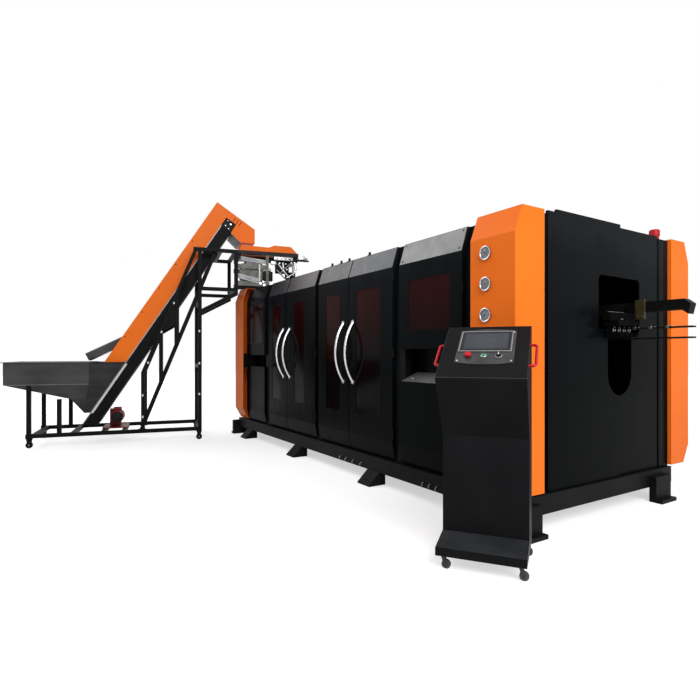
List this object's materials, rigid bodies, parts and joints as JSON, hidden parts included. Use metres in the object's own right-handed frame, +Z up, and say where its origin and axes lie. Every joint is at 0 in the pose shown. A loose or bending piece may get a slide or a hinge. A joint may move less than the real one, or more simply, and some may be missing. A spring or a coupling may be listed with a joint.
{
  "type": "linear bottle blow moulding machine",
  "caption": "Enclosed linear stretch blow moulding machine with an inclined preform elevator and hopper at its left end and a separate wheeled control console.",
  "frame": {"origin": "on the floor, in the middle of the four anchor holes at the ends of the machine's base", "axes": "+X from the preform end to the bottle outlet, +Y from the door side to the back, +Z up"},
  "size_m": [6.8286, 5.1657, 3.4037],
  "materials": {
    "black_gloss": "gloss powder coat",
    "black_satin": "satin paint",
    "orange": "semi-gloss paint",
    "dark_glazing": "smooth tinted sheet",
    "chrome": "polished",
    "handle_steel": "polished stainless steel",
    "bare_metal": "milled",
    "hopper_steel": "brushed",
    "drive_red": "satin paint",
    "signal_red": "moulded",
    "signal_green": "moulded",
    "screen": "smooth",
    "steel": "machined",
    "wheel_rubber": "matt",
    "black_plastic": "moulded"
  },
  "bodies": {
    "machine": {"air_gauges": "chrome", "base_frame": "black_satin", "beacon": "signal_red", "clamp_frame": "steel", "column_front_left": "orange", "column_front_right": "orange", "console_base": "black_satin", "console_body": "black_satin", "console_handles": "signal_red", "elevator_casing": "black_satin", "elevator_cover": "orange", "elevator_frame": "black_satin", "enclosure_frame": "black_satin", "front_panels": "black_gloss", "gearmotor": "drive_red", "hmi_plate": "bare_metal", "hmi_screen": "screen", "hopper": "hopper_steel", "infeed_cover": "black_gloss", "infeed_end_panel": "black_gloss", "neck_rails": "bare_metal", "outlet_beam": "black_satin", "outlet_end_panels": "black_gloss", "rear_columns": "orange", "rear_panels": "black_gloss", "return_chute": "hopper_steel", "roof_panel": "black_gloss", "sill_plate": "bare_metal", "sorter_drive": "bare_metal", "sorter_frame": "bare_metal", "sorter_hood": "orange"},
    "oven_left": {"oven_left_door": "black_gloss", "oven_left_window": "dark_glazing", "oven_left_handle": "handle_steel"},
    "oven_right": {"oven_right_door": "black_gloss", "oven_right_window": "dark_glazing", "oven_right_handle": "handle_steel"},
    "mould_left": {"mould_left_door": "black_gloss", "mould_left_window": "dark_glazing", "mould_left_handle": "handle_steel"},
    "mould_right": {"mould_right_door": "black_gloss", "mould_right_window": "dark_glazing", "mould_right_handle": "handle_steel"},
    "outlet_door_leaf": {"outlet_door": "black_gloss", "outlet_window": "dark_glazing"},
    "platen": {"moving_platen": "steel"},
    "carriage": {"takeout_carriage": "steel"},
    "stop": {"stop_button": "signal_red"},
    "start": {"start_button": "signal_green"},
    "selector": {"mode_selector": "black_plastic"},
    "fork_1": {"console_fork_1": "steel"},
    "wheel_1": {"console_wheel_1": "wheel_rubber"},
    "fork_2": {"console_fork_2": "steel"},
    "wheel_2": {"console_wheel_2": "wheel_rubber"},
    "fork_3": {"console_fork_3": "steel"},
    "wheel_3": {"console_wheel_3": "wheel_rubber"},
    "fork_4": {"console_fork_4": "steel"},
    "wheel_4": {"console_wheel_4": "wheel_rubber"},
    "roller_far": {"sorter_roller_far": "steel"},
    "roller_near": {"sorter_roller_near": "steel"}
  },
  "joints": [
    {"name": "oven_left_hinge", "type": "hinge", "parent": "machine", "child": "oven_left", "pos_m": [-1.479, -0.84, 1.19], "axis": [0, 0, -1], "range_deg": [0, 85]},
    {"name": "oven_right_hinge", "type": "hinge", "parent": "machine", "child": "oven_right", "pos_m": [-0.199, -0.84, 1.19], "axis": [0, 0, 1], "range_deg": [0, 85]},
    {"name": "mould_left_hinge", "type": "hinge", "parent": "machine", "child": "mould_left", "pos_m": [-0.12, -0.84, 1.19], "axis": [0, 0, -1], "range_deg": [0, 85]},
    {"name": "mould_right_hinge", "type": "hinge", "parent": "machine", "child": "mould_right", "pos_m": [1.222, -0.84, 1.19], "axis": [0, 0, 1], "range_deg": [0, 85]},
    {"name": "outlet_door_hinge", "type": "hinge", "parent": "machine", "child": "outlet_door_leaf", "pos_m": [2.066, -0.84, 1.68], "axis": [0, 0, 1], "range_deg": [0, 85]},
    {"name": "clamp_stroke", "type": "slide", "parent": "machine", "child": "platen", "axis": [0, -1, 0], "range_m": [0, 0.15]},
    {"name": "takeout_stroke", "type": "slide", "parent": "machine", "child": "carriage", "axis": [1, 0, 0], "range_m": [0, 0.24]},
    {"name": "stop_press", "type": "slide", "parent": "machine", "child": "stop", "axis": [-0.3442, 0.4866, -0.8029], "range_m": [0, 0.006], "stiffness_N_per_m": 800, "springref_m": -0.003},
    {"name": "start_press", "type": "slide", "parent": "machine", "child": "start", "axis": [-0.3442, 0.4866, -0.8029], "range_m": [0, 0.004], "stiffness_N_per_m": 500, "springref_m": -0.002},
    {"name": "selector_turn", "type": "hinge", "parent": "machine", "child": "selector", "pos_m": [2.83878, -1.32241, 1.17106], "axis": [0.3442, -0.4866, 0.8029], "range_deg": [-45, 45]},
    {"name": "swivel_1", "type": "hinge", "parent": "machine", "child": "fork_1", "pos_m": [2.66738, -1.57708, 0.07], "axis": [0, 0, 1], "continuous": true},
    {"name": "wheel_spin_1", "type": "hinge", "parent": "fork_1", "child": "wheel_1", "pos_m": [2.68207, -1.56669, 0.025], "axis": [-0.5774, 0.8164, 0], "continuous": true},
    {"name": "swivel_2", "type": "hinge", "parent": "machine", "child": "fork_2", "pos_m": [3.00212, -1.34034, 0.07], "axis": [0, 0, 1], "continuous": true},
    {"name": "wheel_spin_2", "type": "hinge", "parent": "fork_2", "child": "wheel_2", "pos_m": [3.01681, -1.32994, 0.025], "axis": [-0.5774, 0.8164, 0], "continuous": true},
    {"name": "swivel_3", "type": "hinge", "parent": "machine", "child": "fork_3", "pos_m": [2.45777, -1.28072, 0.07], "axis": [0, 0, 1], "continuous": true},
    {"name": "wheel_spin_3", "type": "hinge", "parent": "fork_3", "child": "wheel_3", "pos_m": [2.47247, -1.27032, 0.025], "axis": [-0.5774, 0.8164, 0], "continuous": true},
    {"name": "swivel_4", "type": "hinge", "parent": "machine", "child": "fork_4", "pos_m": [2.79251, -1.04397, 0.07], "axis": [0, 0, 1], "continuous": true},
    {"name": "wheel_spin_4", "type": "hinge", "parent": "fork_4", "child": "wheel_4", "pos_m": [2.80721, -1.03357, 0.025], "axis": [-0.5774, 0.8164, 0], "continuous": true},
    {"name": "roller_far_spin", "type": "hinge", "parent": "machine", "child": "roller_far", "pos_m": [-2.46498, -0.48411, 2.615], "axis": [0.2135, 0.9769, 0], "continuous": true},
    {"name": "roller_near_spin", "type": "hinge", "parent": "machine", "child": "roller_near", "pos_m": [-2.38878, -0.50076, 2.615], "axis": [0.2135, 0.9769, 0], "continuous": true}
  ],
  "couplings": [
    {"joint": "roller_near_spin", "follows": "roller_far_spin", "ratio": -1}
  ]
}
